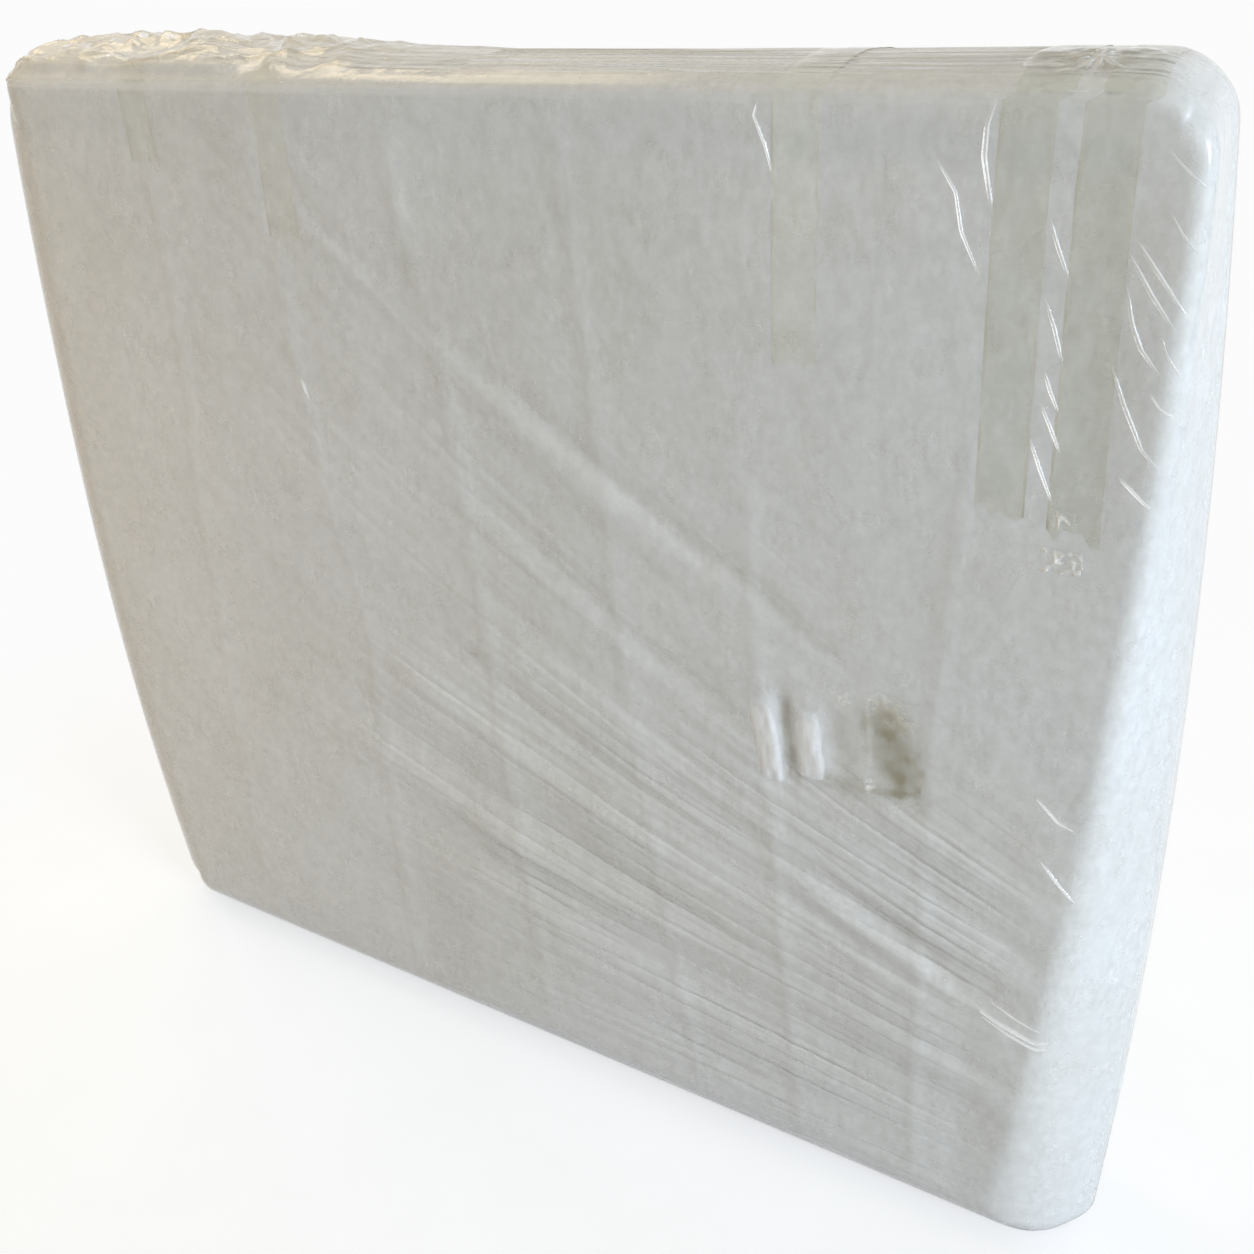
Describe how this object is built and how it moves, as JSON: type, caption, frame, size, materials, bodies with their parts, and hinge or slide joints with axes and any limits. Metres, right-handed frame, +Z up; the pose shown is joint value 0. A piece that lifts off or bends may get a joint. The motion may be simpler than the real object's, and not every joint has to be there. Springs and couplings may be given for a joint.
{
  "type": "insulation batting pack",
  "caption": "Flat upright pack of white fibre insulation batting, wrapped tight in clear film, with tape strips over its top edge and a torn, patched spot on the front",
  "frame": {"origin": "centre of the bottom, on the floor", "axes": "+X runs along the long bottom edge, to the right as seen from the front; +Y runs from the front to the back; +Z is up"},
  "size_m": [1.2, 0.1735, 1.0123],
  "materials": {
    "batting": "soft matted fibre, white",
    "film": "clear stretched film, glossy",
    "tape": "clear packing tape, slightly yellow"
  },
  "bodies": {
    "root": {"batting": "batting", "film_wrap": "film", "tape_strip_1": "tape", "tape_strip_2": "tape", "tape_strip_3": "tape", "tape_strip_4": "tape", "tape_strip_5": "tape", "tear_patch": "tape"}
  },
  "joints": []
}
